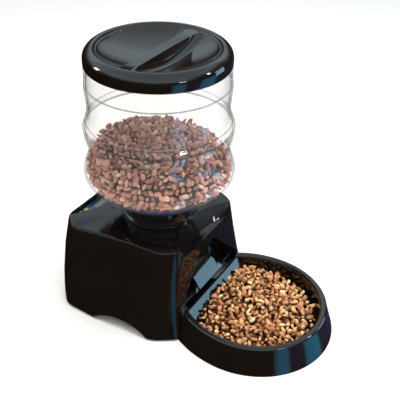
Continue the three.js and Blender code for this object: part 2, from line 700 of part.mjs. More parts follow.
function roundBowl() {
  const rim = BOWL_RIM_R;
  const profile = [
    [0, 6], [80, 6], [88, 9], [91.5, 15], [92.5, BOWL_H - 4], [94, BOWL_H - 1],
    [97, BOWL_H], [100, BOWL_H - 0.6], [rim - 0.6, BOWL_H - 2.4], [rim, BOWL_H - 5],
    [BOWL_FLOOR_R, 0], [BOWL_FLOOR_R - BOWL_WALL, 0], [BOWL_FLOOR_R - 6, 6],
    [rim - BOWL_WALL - 1, BOWL_H - 8], [95.6, BOWL_H - 6], [94.8, 13], [90, 6.4],
    [81, 3.4], [0, 3.4]];
  return bowlTurned(profile.reverse());
}

function bowl() {
  const back = BOWL_BACK;
  const far = 80;
  let body = toSolid(roundBowl()).subtract(toSolid(box(-140, 140, back, back + far, -10, 60)));
  // sloping rear wall: a plate from the floor of the bowl up to its rear edge
  const slope = [[back, 33], [back, 30], [back - 2, 3.4], [back - 32, 3.4], [back - 32, 6],
    [back - 26, 6], [back - 5, 33]];
  const inside = toSolid(bowlTurned([[0, -5], [93, -5], [93, 60], [0, 60]]));
  body = body.add(toSolid(prismX(slope, -90, 90)).intersect(inside));
  // tongue that slips under the housing
  const tongue = rounded([[-40, back - 4], [40, back - 4], [36, BOWL_SLOT - 2], [-36, BOWL_SLOT - 2]], 6);
  body = body.add(toSolid(prism(tongue, 6, 9)));
  // clearance where the round wall meets the corners of the housing
  const corner = toSolid(loft(bodyLevels(-5, BODY_TOP, -0.5, [[0, 0]])))
    .subtract(toSolid(box(-79.5, 79.5, -200, 200, -10, 200)));
  return body.subtract(corner);
}
add('bowl', bowl(), GLOSS_BLACK);

// ---- frame --------------------------------------------------------------

// the origin is the middle of the footprint, on the floor
const box3 = new THREE.Box3().setFromObject(group);
const middle = box3.getCenter(new THREE.Vector3());
group.children.forEach((mesh) => { mesh.position.y -= middle.y; });

export default group;
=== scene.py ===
"""Automatic pet feeder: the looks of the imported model, in metres, in its frame.

The drum stands on the Z axis through AXIS, the bowl lies towards -Y and the
control panel towards +Y. Each visible piece rides on the body of the CAD node
that it stands for. Dry food lies in the drum and in the bowl.
"""

import json
import math

import bmesh
import bpy
import numpy as np
from mathutils import Matrix, Vector

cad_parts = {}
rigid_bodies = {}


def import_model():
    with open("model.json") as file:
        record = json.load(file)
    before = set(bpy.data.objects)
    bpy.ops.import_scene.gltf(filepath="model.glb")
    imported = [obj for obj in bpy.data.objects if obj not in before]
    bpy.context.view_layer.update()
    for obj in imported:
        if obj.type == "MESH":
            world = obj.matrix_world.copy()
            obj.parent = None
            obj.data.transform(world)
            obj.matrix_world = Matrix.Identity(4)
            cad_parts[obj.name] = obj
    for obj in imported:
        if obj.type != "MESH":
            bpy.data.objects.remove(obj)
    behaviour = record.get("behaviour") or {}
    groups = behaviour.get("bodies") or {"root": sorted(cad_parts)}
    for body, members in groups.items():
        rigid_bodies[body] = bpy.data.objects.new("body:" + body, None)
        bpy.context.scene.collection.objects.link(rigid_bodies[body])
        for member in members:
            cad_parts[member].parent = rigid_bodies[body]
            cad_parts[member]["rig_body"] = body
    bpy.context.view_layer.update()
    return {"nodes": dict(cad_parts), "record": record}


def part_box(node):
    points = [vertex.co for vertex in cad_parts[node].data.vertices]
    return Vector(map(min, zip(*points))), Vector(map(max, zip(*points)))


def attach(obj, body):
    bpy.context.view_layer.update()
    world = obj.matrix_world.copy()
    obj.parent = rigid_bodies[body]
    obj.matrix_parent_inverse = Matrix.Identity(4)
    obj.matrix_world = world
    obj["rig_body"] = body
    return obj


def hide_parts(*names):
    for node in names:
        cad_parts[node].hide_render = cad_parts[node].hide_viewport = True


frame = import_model()
nodes = frame["nodes"]
slot_of = {part["node"]: part["material_slot"] for part in frame["record"]["subparts"]}

# ---------------------------------------------------------------- sizes

MM = 0.001
SIDES = 144                      # sides of a large round piece
EDGE = 0.0005                    # softened edge of a small piece
HOUSING_EDGE = 0.0014            # softened edge of the housing

SCOOP_DEPTH = 19 * MM            # depth of the lid's finger scoops at the grip bar
SCOOP_R = 79.3 * MM
SCOOP_BOWL = 0.75                # below 1 the scoop has a flat floor and steep ends
SCOOP_TOE = 13 * MM              # radius between the scoop's floor and the bar
GRIP_HALF = 7.8 * MM
GRIP_SHIFT = -4 * MM

BOWL_FRONT = 1.035               # the bowl's front half is longer than round,
BOWL_REAR = 1.17                 # its rear half longer still
BOWL_BACK = -91.5 * MM           # straight rear edge, from the drum's axis
BOWL_CORNER = 79.5 * MM          # beyond this the bowl clears the housing's corners
BOWL_PLATE_TOP = 36 * MM
PLATE_LIP = 3 * MM               # top edge of the bowl's sloping rear wall
PLATE_LEAN = 0.95                # its run forward for each unit of fall

RIB = 0.7 * MM
DRUM_RIBS = (279.5 * MM, 290 * MM, 341.5 * MM)   # raised lines round the drum

KIBBLE = 4.4 * MM                # half length of a piece of dry food
DRUM_FOOD_TOP = 237.5 * MM       # height of the drum's food at the wall
DRUM_FOOD_MOUND = 16 * MM
DRUM_FOOD_HIGHEST = 262 * MM     # no row along the wall starts above this
DRUM_FOOD_LAYERS = ((8.2 * MM, 5.2 * MM), (9.5 * MM, 11.5 * MM))   # spacing, inset
BOWL_FOOD_R = 87.5 * MM
BOWL_FOOD_EDGE = 17.5 * MM       # height of the bowl's food at its edge
BOWL_FOOD_MOUND = 15.5 * MM
BOWL_FOOD_LAYER = 7.2 * MM
BOWL_FLOOR = 9.5 * MM            # no food lies lower than this

ON_PLANE = 0.02 * MM             # how near a point lies to a section's plane


def centre_of(name):
    low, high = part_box(name)
    return Vector(((low.x + high.x) / 2, (low.y + high.y) / 2, 0))


AXIS = centre_of("drum")

# ---------------------------------------------------------------- materials


def new_material(name):
    material = bpy.data.materials.new(name)
    material.use_nodes = True
    tree = material.node_tree
    tree.nodes.clear()
    output = tree.nodes.new("ShaderNodeOutputMaterial")
    return material, tree, output


def node(tree, kind, **values):
    made = tree.nodes.new("ShaderNode" + kind)
    for key, value in values.items():
        if key in made.inputs.keys():
            made.inputs[key].default_value = value
        else:
            setattr(made, key, value)
    return made


def ramp(tree, source, stops):
    made = node(tree, "ValToRGB")
    elements = made.color_ramp.elements
    while len(elements) < len(stops):
        elements.new(0.5)
    for element, (position, value) in zip(elements, stops):
        element.position = position
        element.color = (*value, 1) if isinstance(value, tuple) else (value, value, value, 1)
    tree.links.new(source, made.inputs["Fac"])
    return made.outputs["Color"]


def pattern(tree, scale, detail=3, roughness=0.5, stretch=(1, 1, 1)):
    place = node(tree, "TexCoord")
    mapping = node(tree, "Mapping")
    mapping.inputs["Scale"].default_value = stretch
    tree.links.new(place.outputs["Object"], mapping.inputs["Vector"])
    made = node(tree, "TexNoise", Scale=scale, Detail=detail, Roughness=roughness)
    tree.links.new(mapping.outputs["Vector"], made.inputs["Vector"])
    return made.outputs["Fac"]


def roughen(tree, shader, source, strength, distance):
    bump = node(tree, "Bump", Strength=strength, Distance=distance)
    tree.links.new(source, bump.inputs["Height"])
    tree.links.new(bump.outputs["Normal"], shader.inputs["Normal"])


def plastic(name, color, shine, grain=0.0, spread=0.15, specular=0.5):
    """Moulded plastic: its colour drifts a little, faint handling marks break
    the gloss, and the surface has a fine grain or a slight waviness."""
    material, tree, output = new_material(name)
    shader = node(tree, "BsdfPrincipled")
    shader.inputs["Specular IOR Level"].default_value = specular
    darker = tuple(c * (1 - spread) for c in color)
    lighter = tuple(min(1, c * (1 + spread)) for c in color)
    drift = ramp(tree, pattern(tree, 18, 4, 0.6), [(0.3, darker), (0.7, lighter)])
    tree.links.new(drift, shader.inputs["Base Color"])
    marks = pattern(tree, 60, 6, 0.7, (1, 1, 0.4))
    tree.links.new(ramp(tree, marks, [(0.35, shine[0]), (0.75, shine[1])]),
                   shader.inputs["Roughness"])
    if grain:
        roughen(tree, shader, pattern(tree, 1100, 2), grain, 0.0003)
    else:
        roughen(tree, shader, pattern(tree, 45, 2), 0.05, 0.0012)
    tree.links.new(shader.outputs["BSDF"], output.inputs["Surface"])
    return material


def metal(name, color, shine):
    """Bare metal: a colour that drifts a little and fine marks in the gloss."""
    material, tree, output = new_material(name)
    shader = node(tree, "BsdfPrincipled")
    shader.inputs["Metallic"].default_value = 1
    darker = tuple(c * 0.8 for c in color)
    drift = ramp(tree, pattern(tree, 40, 4, 0.6), [(0.3, darker), (0.7, color)])
    tree.links.new(drift, shader.inputs["Base Color"])
    lines = pattern(tree, 260, 5, 0.7)
    tree.links.new(ramp(tree, lines, [(0.3, shine[0]), (0.7, shine[1])]),
                   shader.inputs["Roughness"])
    roughen(tree, shader, lines, 0.08, 0.0002)
    tree.links.new(shader.outputs["BSDF"], output.inputs["Surface"])
    return material


def clear_plastic(name, haze, passed=1.0):
    """Thin clear styrene: see-through, mirroring more at a glance, with a faint
    milky haze that is denser along vertical flow lines. passed is the share of
    light that it lets through where it is seen squarely."""
    material, tree, output = new_material(name)
    clear = node(tree, "BsdfTransparent")
    milk = node(tree, "BsdfDiffuse", Color=(0.95, 0.87, 0.76, 1))
    gloss = node(tree, "BsdfGlossy", Color=(1, 1, 1, 1))
    scuffs = pattern(tree, 150, 6, 0.8, (1, 1, 0.3))
    tree.links.new(ramp(tree, scuffs, [(0.4, 0.03), (0.8, 0.1)]), gloss.inputs["Roughness"])
    roughen(tree, gloss, pattern(tree, 30, 2, 0.5, (1, 1, 0.4)), 0.04, 0.001)
    flow = pattern(tree, 26, 4, 0.7, (1, 1, 0.15))
    hazy = node(tree, "MixShader")
    tree.links.new(ramp(tree, flow, [(0.35, haze[0]), (0.75, haze[1])]), hazy.inputs["Fac"])
    tree.links.new(clear.outputs[0], hazy.inputs[1])
    tree.links.new(milk.outputs[0], hazy.inputs[2])
    glance = node(tree, "LayerWeight", Blend=0.5)
    tree.links.new(ramp(tree, glance.outputs["Facing"], [
        (0.0, 0.99 * passed), (0.5, 0.98 * passed), (0.75, 0.93 * passed),
        (0.87, 0.7 * passed), (1.0, 0.5 * passed)]), clear.inputs["Color"])
    mirror = ramp(tree, glance.outputs["Facing"], [
        (0.0, 0.035), (0.55, 0.05), (0.8, 0.12), (0.93, 0.22), (1.0, 0.34)])
    mix = node(tree, "MixShader")
    tree.links.new(mirror, mix.inputs["Fac"])
    tree.links.new(hazy.outputs[0], mix.inputs[1])
    tree.links.new(gloss.outputs[0], mix.inputs[2])
    tree.links.new(mix.outputs[0], output.inputs["Surface"])
    return material


def dry_food(name, stops):
    """Baked dry food: a tone for each piece, darker in the lower layers as painted shade, mottled
    crust, rough crumbly skin.
    """
    material, tree, output = new_material(name)
    shader = node(tree, "BsdfPrincipled", Roughness=0.72)
    shader.inputs["Specular IOR Level"].default_value = 0.3
    tone = node(tree, "Attribute", attribute_name="tone")
    crust = pattern(tree, 420, 4, 0.7)
    both = node(tree, "Math", operation="MULTIPLY_ADD")
    tree.links.new(crust, both.inputs[0])
    both.inputs[1].default_value = 0.35
    tree.links.new(tone.outputs["Fac"], both.inputs[2])
    tree.links.new(ramp(tree, both.outputs[0], stops), shader.inputs["Base Color"])
    roughen(tree, shader, pattern(tree, 900, 4, 0.7), 0.6, 0.0006)
    tree.links.new(shader.outputs["BSDF"], output.inputs["Surface"])
    return material


FINISH = {
    "gloss_black": plastic("gloss_black", (0.0085, 0.0056, 0.0042), (0.04, 0.1), specular=0.6),
    "matt_black": plastic("matt_black", (0.02, 0.02, 0.021), (0.45, 0.6), grain=0.3),
    "housing_black": plastic(
        "housing_black", (0.0085, 0.0056, 0.0042), (0.04, 0.1), specular=0.33),
    "navy": plastic("navy", (0.016, 0.012, 0.085), (0.1, 0.2)),
    "rubber": plastic("rubber", (0.018, 0.018, 0.018), (0.7, 0.85), grain=0.4),
    "white_plastic": plastic("white_acetal", (0.66, 0.66, 0.62), (0.35, 0.5), grain=0.1),
    "panel_blue": plastic("panel_blue", (0.05, 0.11, 0.2), (0.2, 0.3)),
    "lcd": plastic("display_grey", (0.24, 0.36, 0.31), (0.25, 0.35), grain=0.1),
    "yellow": plastic("key_yellow", (0.62, 0.44, 0.08), (0.35, 0.5), grain=0.15),
    "board": plastic("board_green", (0.02, 0.12, 0.05), (0.3, 0.45), grain=0.1),
    "cell": plastic("cell_sleeve", (0.05, 0.05, 0.055), (0.2, 0.3)),
    "lamp": plastic("lamp_amber", (0.5, 0.3, 0.05), (0.1, 0.2)),
    "steel": metal("plated_steel", (0.62, 0.63, 0.65), (0.2, 0.4)),
    "brass": metal("turned_brass", (0.7, 0.5, 0.22), (0.2, 0.4)),
    "clear": clear_plastic("clear_styrene", (0.02, 0.08)),
    # Painted shade: the drum's raised lines let through only about half the light, so they show
    # as the dark lines that light bent at a rib would make.
    "clear_rib_painted_shade": clear_plastic("clear_rib_painted_shade", (0.01, 0.03), 0.52),
}
# The dark end of each food ramp takes the painted shade of the lower layers as well as the
# darkest pieces.
BOWL_FOOD = dry_food("bowl_food", [
    (0.05, (0.12, 0.04, 0.016)), (0.4, (0.50, 0.215, 0.09)),
    (0.75, (0.77, 0.42, 0.20)), (0.97, (0.92, 0.70, 0.36))])
DRUM_FOOD = dry_food("drum_food", [
    (0.05, (0.13, 0.04, 0.035)), (0.4, (0.60, 0.24, 0.18)),
    (0.75, (0.92, 0.46, 0.34)), (0.97, (0.98, 0.74, 0.55))])
# A near-black brown for the solid inside the drum's food: painted shade seen in the gaps between
# the pieces.
FOOD_SHADE = plastic("painted_food_shade", (0.04, 0.018, 0.01), (0.8, 0.95), grain=0.6, spread=0.5)

# ---------------------------------------------------------------- mesh tools


def piece(name, mesh, body, stands_for=(), material=None, smooth=35):
    """A visible piece that rides on a body and stands for CAD nodes."""
    made = bpy.data.objects.new(name, mesh)
    bpy.context.scene.collection.objects.link(made)
    if material:
        mesh.materials.clear()
        mesh.materials.append(material)
    mesh.shade_smooth()
    mesh.set_sharp_from_angle(angle=math.radians(smooth))
    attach(made, body)
    if stands_for:
        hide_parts(*stands_for)
    return made


def soften(obj, width, segments=3, angle=30):
    bevel = obj.modifiers.new("soft_edges", "BEVEL")
    bevel.width = width
    bevel.segments = segments
    bevel.limit_method = "ANGLE"
    bevel.angle_limit = math.radians(angle)
    bevel.use_clamp_overlap = True
    bevel.harden_normals = True
    return obj


def dressed(name, width=EDGE, finish=None):
    """A clean copy of a CAD node with softened edges and its finish."""
    mesh = nodes[name].data.copy()
    mesh.name = name + "_skin"
    work = bmesh.new()
    work.from_mesh(mesh)
    bmesh.ops.remove_doubles(work, verts=work.verts, dist=1e-5)
    bmesh.ops.dissolve_limit(work, angle_limit=math.radians(1), verts=work.verts,
                             edges=work.edges)
    work.to_mesh(mesh)
    work.free()
    made = piece(name + "_skin", mesh, nodes[name]["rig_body"], (name,),
                 FINISH[finish or slot_of[name]])
    return soften(made, width)


def meridian(name, centre, direction):
    """The section of a turned node as ordered (radius, z) points, and whether
    it closes on itself. The section lies in the half plane along direction."""
    obj = nodes[name]
    across = Vector((-direction[1], direction[0], 0))
    along = Vector((direction[0], direction[1], 0))
    key_of, point_of = {}, {}
    for vertex in obj.data.vertices:
        place = obj.matrix_world @ vertex.co - centre
        if abs(place.dot(across)) < ON_PLANE and place.dot(along) > -ON_PLANE:
            key = (round(place.dot(along) * 1e5), round(place.z * 1e5))
            key_of[vertex.index] = key
            point_of[key] = (place.dot(along), place.z)
    near = {}
    for edge in obj.data.edges:
        a, b = (key_of.get(i) for i in edge.vertices)
        if a and b and a != b:
            near.setdefault(a, set()).add(b)
            near.setdefault(b, set()).add(a)
    ends = [key for key, others in near.items() if len(others) == 1]
    walk = [max(ends, key=lambda key: key[1]) if ends else max(near)]
    while True:
        onward = [key for key in near[walk[-1]] if key not in walk]
        if not onward:
            break
        walk.append(onward[0])
    return [point_of[key] for key in walk], not ends


def rounded_profile(points, closed, corner=38, steps=4):
    """A finer section: gentle bends become curves and sharp corners stay."""
    pts = [np.array(p) for p in points]
    n = len(pts)

    def turn(i):
        if not closed and i in (0, n - 1):
            return 180
        a = pts[i] - pts[i - 1]
        b = pts[(i + 1) % n] - pts[i]
        cosine = a @ b / max(np.linalg.norm(a) * np.linalg.norm(b), 1e-12)
        return math.degrees(math.acos(max(-1, min(1, cosine))))

    sharp = [turn(i) > corner for i in range(n)]
    out = []
    for i in range(n if closed else n - 1):
        j = (i + 1) % n
        a, b = pts[i], pts[j]
        span = np.linalg.norm(b - a)
        before = a - (b - a) if sharp[i] else pts[i - 1]
        after = b + (b - a) if sharp[j] else pts[(j + 1) % n]
        slope_a = (b - before) / (span + np.linalg.norm(a - before)) * span
        slope_b = (after - a) / (span + np.linalg.norm(after - b)) * span
        for k in range(steps):
            t = k / steps
            out.append((2 * t**3 - 3 * t**2 + 1) * a + (t**3 - 2 * t**2 + t) * slope_a
                       + (3 * t**2 - 2 * t**3) * b + (t**3 - t**2) * slope_b)
    if not closed:
        out.append(pts[-1])
    return [(max(float(r), 0.0), float(z)) for r, z in out]


def spin(name, profile, closed, centre, front=1.0, rear=1.0, sides=SIDES):
    """Turn a section about the vertical through centre. front and rear stretch
    the halves towards -Y and +Y."""
    mesh = bpy.data.meshes.new(name)
    work = bmesh.new()
    rings = []
    for radius, z in profile:
        if radius < 1e-6:
            rings.append([work.verts.new((centre.x, centre.y, z))] * sides)
            continue
        ring = []
        for k in range(sides):
            angle = 2 * math.pi * k / sides
            y = radius * math.sin(angle)
            y *= rear if y > 0 else front
            ring.append(work.verts.new((centre.x + radius * math.cos(angle), centre.y + y, z)))
        rings.append(ring)
    for i in range(len(rings) if closed else len(rings) - 1):
        a, b = rings[i], rings[(i + 1) % len(rings)]
        for k in range(sides):
            m = (k + 1) % sides
            corners = list(dict.fromkeys((a[k], a[m], b[m], b[k])))
            if len(corners) > 2:
                work.faces.new(corners)
    bmesh.ops.recalc_face_normals(work, faces=work.faces)
    work.to_mesh(mesh)
    work.free()
    return mesh


def add_rib(section, height):
    """A thin raised line round the outside of a closed section."""
    n = len(section)
    crossings = [i for i in range(n)
                 if (section[i][1] - height) * (section[(i + 1) % n][1] - height) <= 0]
    i = max(crossings, key=lambda k: section[k][0])
    radius = (section[i][0] + section[(i + 1) % n][0]) / 2
    way = RIB if section[(i + 1) % n][1] > section[i][1] else -RIB
    rib = [(radius, height - way), (radius + 1.3 * RIB, height), (radius, height + way)]
    near = [k for k in range(n) if abs(section[k][1] - height) < 1.2 * RIB
            and section[k][0] > radius - 0.001]
    before = [section[k] for k in range(i + 1) if k not in near]
    after = [section[k] for k in range(i + 1, n) if k not in near]
    return before + rib + after


def turned_piece(name, width=0.4 * MM, ribs=()):
    """A smooth version of a CAD node that was turned on the drum's axis."""
    profile, closed = meridian(name, AXIS, (1, 0))
    section = rounded_profile(profile, closed)
    for height in ribs:
        section = add_rib(section, height)
    mesh = spin(name + "_skin", section, closed, AXIS)
    made = piece(name + "_skin", mesh, nodes[name]["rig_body"], (name,), FINISH[slot_of[name]])
    if ribs:
        # the rib faces take the darker clear finish: painted shade along each raised line
        mesh.materials.append(FINISH["clear_rib_painted_shade"])
        for face in mesh.polygons:
            face.material_index = any(abs(face.center.z - height) < RIB for height in ribs)
    return soften(made, width, 2, 40)


def closed_mesh(name, corners, faces):
    """A mesh of the given faces, all facing out."""
    mesh = bpy.data.meshes.new(name)
    mesh.from_pydata(corners, [], faces)
    work = bmesh.new()
    work.from_mesh(mesh)
    bmesh.ops.recalc_face_normals(work, faces=work.faces)
    work.to_mesh(mesh)
    work.free()
    return mesh


def prism(outline, start, end, axis):
    """A closed mesh: an outline drawn out along X, Y or Z (axis 0, 1 or 2)."""
    corners = []
    for reach in (start, end):
        for a, b in outline:
            corners.append([(reach, a, b), (a, reach, b), (a, b, reach)][axis])
    n = len(outline)
    faces = [tuple(range(n)), tuple(range(2 * n - 1, n - 1, -1))]
    faces += [(i, i + n, (i + 1) % n + n, (i + 1) % n) for i in range(n)]
    return closed_mesh("prism", corners, faces)


def carve(mesh, *steps):
    """mesh after boolean steps, each (operation, tool mesh)."""
    scene = bpy.context.scene
    for operation, tool_mesh in steps:
        work = bpy.data.objects.new("work", mesh)
        tool = bpy.data.objects.new("tool", tool_mesh)
        scene.collection.objects.link(work)
        scene.collection.objects.link(tool)
        step = work.modifiers.new("step", "BOOLEAN")
        step.operation, step.object, step.solver = operation, tool, "EXACT"
        graph = bpy.context.evaluated_depsgraph_get()
        mesh = bpy.data.meshes.new_from_object(work.evaluated_get(graph))
        bpy.data.objects.remove(work)
        bpy.data.objects.remove(tool)
    return mesh


# ---------------------------------------------------------------- lid


def scoop_tool(side, top, depth):
    """The air of one finger scoop: a dish beside the grip bar that is deepest
    along the bar, runs out at the rim of the disc and curves up to the bar."""
    rows, columns = 34, 48
    start = GRIP_HALF + side * GRIP_SHIFT
    floor, roof = [], []
    for i in range(rows + 1):
        y = start + (SCOOP_R * 0.9995 - start) * (i / rows) ** 1.3
        half = math.sqrt(SCOOP_R**2 - y**2)
        toe = max(0, 1 - (y - start) / SCOOP_TOE)
        fillet = SCOOP_TOE * (1 - math.sqrt(1 - toe**2))
        for j in range(columns + 1):
            x = half * math.sin(math.pi * (j / columns - 0.5))
            dish = depth * max(0, 1 - (x * x + y * y) / SCOOP_R**2) ** SCOOP_BOWL
            z = top - max(dish - fillet, 0.02 * MM)
            floor.append((AXIS.x + x, AXIS.y + side * y, z))
            roof.append((AXIS.x + x, AXIS.y + side * y, top + 0.02))
    n, wide = len(floor), columns + 1
    faces = []
    for i in range(rows):
        for j in range(columns):
            a = i * wide + j
            faces.append((a, a + 1, a + wide + 1, a + wide))
            faces.append((n + a, n + a + wide, n + a + wide + 1, n + a + 1))
    rim = list(range(columns)) + [i * wide + columns for i in range(rows)]
    rim += [rows * wide + j for j in range(columns, 0, -1)]
    rim += [i * wide for i in range(rows, 0, -1)]
    for k, a in enumerate(rim):
        b = rim[(k + 1) % len(rim)]
        faces.append((a, b, b + n, a + n))
    return closed_mesh("scoop", floor + roof, faces)


def make_lid():
    profile, closed = meridian("lid", AXIS, (1, 0))
    shell = spin("lid_skin", rounded_profile(profile, closed, 50), closed, AXIS)
    disc = max(z for r, z in profile if r < 0.05)
    shell = carve(shell, ("DIFFERENCE", scoop_tool(1, disc, SCOOP_DEPTH)),
                  ("DIFFERENCE", scoop_tool(-1, disc, SCOOP_DEPTH)))
    shell.name = "lid_skin"
    made = piece("lid_skin", shell, nodes["lid"]["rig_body"], ("lid",), FINISH["gloss_black"], 30)
    return soften(made, 0.9 * MM, 3, 35)


# ---------------------------------------------------------------- bowl


def housing_corner(side):
    """The convex end of the housing on one side, grown a little."""
    obj = nodes["housing"]
    work = bmesh.new()
    places = [obj.matrix_world @ v.co for v in obj.data.vertices]
    places = [p for p in places if side * p.x > BOWL_CORNER]
    middle = sum(places, Vector()) / len(places)
    for p in places:
        work.verts.new(middle + (p - middle) * 1.006)
    bmesh.ops.convex_hull(work, input=work.verts)
    loose = [v for v in work.verts if not v.link_faces]
    bmesh.ops.delete(work, geom=loose, context="VERTS")
    mesh = bpy.data.meshes.new("corner")
    work.to_mesh(mesh)
    work.free()
    return mesh


def make_bowl():
    low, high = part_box("bowl")
    half = (high.x - low.x) / 2
    centre = Vector((0, low.y + half * BOWL_FRONT, 0))
    back = AXIS.y + BOWL_BACK
    profile, closed = meridian("bowl", centre, (0, -1))
    profile = [(r / BOWL_FRONT, z) for r, z in profile]
    dish = spin("bowl_skin", rounded_profile(profile, closed, 50), closed, centre,
                BOWL_FRONT, BOWL_REAR)
    foot = back - PLATE_LIP - (BOWL_PLATE_TOP - 6 * MM) * PLATE_LEAN
    slope = [(back, BOWL_PLATE_TOP), (back, 30 * MM), (back - 2 * MM, 3.4 * MM),
             (foot - 6 * MM, 3.4 * MM), (foot - 6 * MM, 6 * MM), (foot, 6 * MM),
             (back - PLATE_LIP, BOWL_PLATE_TOP)]
    low_z, high_z, reach = -5 * MM, 60 * MM, 93 * MM
    inner = [(0, low_z), (reach, low_z), (reach, high_z), (0, high_z)]
    inside = spin("inside", inner, False, centre, BOWL_FRONT, BOWL_REAR)
    plate = carve(prism(slope, -90 * MM, 90 * MM, 0), ("INTERSECT", inside))
    wide, past = 150 * MM, back + 100 * MM
    beyond = prism([(-wide, back), (wide, back), (wide, past), (-wide, past)],
                   low_z, high_z, 2)
    root, tip = back - 4 * MM, back + 23.5 * MM
    tongue = prism([(-40 * MM, root), (40 * MM, root), (36 * MM, tip), (-36 * MM, tip)],
                   6 * MM, 9 * MM, 2)
    dish = carve(dish, ("DIFFERENCE", beyond), ("UNION", plate), ("UNION", tongue),
                 ("DIFFERENCE", housing_corner(-1)), ("DIFFERENCE", housing_corner(1)))
    dish.name = "bowl_skin"
    made = piece("bowl_skin", dish, nodes["bowl"]["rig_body"], ("bowl",), FINISH["gloss_black"],
                 30)
    soften(made, 0.6 * MM, 2, 35)
    return centre, back


# ---------------------------------------------------------------- dry food

rng = np.random.default_rng(7)


def chunk_shapes(count):
    """Unit shapes of dry food: knobbly, flattened, bent and dented."""
    work = bmesh.new()
    bmesh.ops.create_icosphere(work, subdivisions=2, radius=1)
    ball = np.array([v.co[:] for v in work.verts])
    faces = np.array([[v.index for v in f.verts] for f in work.faces])
    work.free()
    shapes = []
    for _ in range(count):
        swell = np.ones(len(ball))
        for _ in range(9):
            way = rng.normal(size=3)
            way /= np.linalg.norm(way)
            height = rng.uniform(-0.46, 0.36)
            swell += height * np.clip((ball @ way - 0.45) / 0.55, 0, 1)
        swell += rng.normal(0, 0.06, len(ball))
        scale = np.array([1.08, rng.uniform(0.6, 0.85), rng.uniform(0.45, 0.7)])
        shape = ball * swell[:, None] * scale
        shape[:, 1] += rng.uniform(-0.35, 0.35) * (shape[:, 0] ** 2 - 0.3)
        shapes.append(shape)
    return shapes, faces


SHAPES, CHUNK_FACES = chunk_shapes(14)


def random_turns(count):
    q = rng.normal(size=(count, 4))
    q /= np.linalg.norm(q, axis=1)[:, None]
    w, x, y, z = q.T
    return np.stack([
        1 - 2 * (y * y + z * z), 2 * (x * y - z * w), 2 * (x * z + y * w),
        2 * (x * y + z * w), 1 - 2 * (x * x + z * z), 2 * (y * z - x * w),
        2 * (x * z - y * w), 2 * (y * z + x * w), 1 - 2 * (x * x + y * y)],
        axis=1).reshape(count, 3, 3)


def pile(name, spots, shade_depths, body, material, size=KIBBLE):
    """Dry food at the given spots as one mesh with a tone for each piece. The
    pieces of the lower layers are darker: painted shade, so that the gaps stay deep."""
    spots = np.asarray(spots)
    turns = random_turns(len(spots))
    verts, faces, tones = [], [], []
    count = len(SHAPES[0])
    for i, (spot, turn) in enumerate(zip(spots, turns)):
        shape = SHAPES[i % len(SHAPES)] * size * rng.uniform(0.65, 1.25)
        verts.append(shape @ turn.T + spot)
        faces.append(CHUNK_FACES + i * count)
        tone = rng.beta(1.7, 1.9) * 0.75 if rng.random() > 0.035 else 0.85
        # painted shade: each piece of a lower layer is darkened
        tone -= 0.42 * shade_depths[i]
        tones.append(np.full(count, tone))
    mesh = bpy.data.meshes.new(name)
    mesh.from_pydata(np.concatenate(verts).tolist(), [], np.concatenate(faces).tolist())
    layer = mesh.attributes.new("tone", "FLOAT", "POINT")
    layer.data.foreach_set("value", np.concatenate(tones).astype(np.float32))
    return piece(name, mesh, body, (), material, 42)


def sunflower(count):
    """Evenly spread points of the unit disc."""
    i = np.arange(count) + 0.5
    r, a = np.sqrt(i / count), i * math.pi * (3 - math.sqrt(5))
    return np.stack([r * np.cos(a), r * np.sin(a)], axis=1)


def fill_drum():
    """Food up to about a third of the drum, against the wall all round, with a
    low mound on top."""
    profile, _ = meridian("drum", AXIS, (1, 0))
    section = np.array(rounded_profile(profile, True))
    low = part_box("drum")[0].z
    body = nodes["drum"]["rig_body"]

    def wall(z):
        """Inner radius of the drum at a height."""
        near = section[np.abs(section[:, 1] - z) < 4 * MM]
        return near[:, 0].min() if len(near) else 94 * MM

    def top(x, y):
        mound = DRUM_FOOD_MOUND * (1 - (x * x + y * y) / (95 * MM) ** 2)
        return DRUM_FOOD_TOP + mound + 0.06 * y - 0.03 * x

    spots, shade_depths = [], []
    # Pieces of depth 1 lie further in and are darkened in pile as painted shade.
    for depth, (step, inset) in enumerate(DRUM_FOOD_LAYERS):
        level = low + 8 * MM
        while level < DRUM_FOOD_HIGHEST:
            reach = wall(level) - inset
            around = int(2 * math.pi * reach / step)
            for k in range(around):
                angle = 2 * math.pi * (k + 0.5 * (int(level / step) % 2)) / around
                angle += rng.uniform(-0.02, 0.02)
                x, y = reach * math.cos(angle), reach * math.sin(angle)
                z = level + rng.uniform(-0.0012, 0.0012)
                if z < top(x, y) - 1 * MM:
                    spots.append((AXIS.x + x, AXIS.y + y, z))
                    shade_depths.append(depth)
            level += step * 0.88
        for x, y in sunflower(400) * (wall(0.24) - 5.5 * MM):
            z = top(x, y) - 7.5 * MM * depth + rng.uniform(-0.0015, 0.0025)
            spots.append((AXIS.x + x + rng.uniform(-0.001, 0.001), AXIS.y + y, z))
            shade_depths.append(depth)
    pile("kibble_drum", spots, shade_depths, body, DRUM_FOOD, KIBBLE * 1.03)
    # A dark solid inside the food: painted shade showing in the gaps between the pieces, which
    # also hides the see-through.
    core = [(0, low + 6 * MM), (wall(0.2) - 20 * MM, low + 9 * MM),
            (wall(0.215) - 14 * MM, 212 * MM), (wall(0.228) - 14 * MM, 226 * MM),
            (60 * MM, 235 * MM), (0, 240 * MM)]
    piece("kibble_drum_shade_core", spin("kibble_drum_shade_core", core, False, AXIS), body, (), FOOD_SHADE)


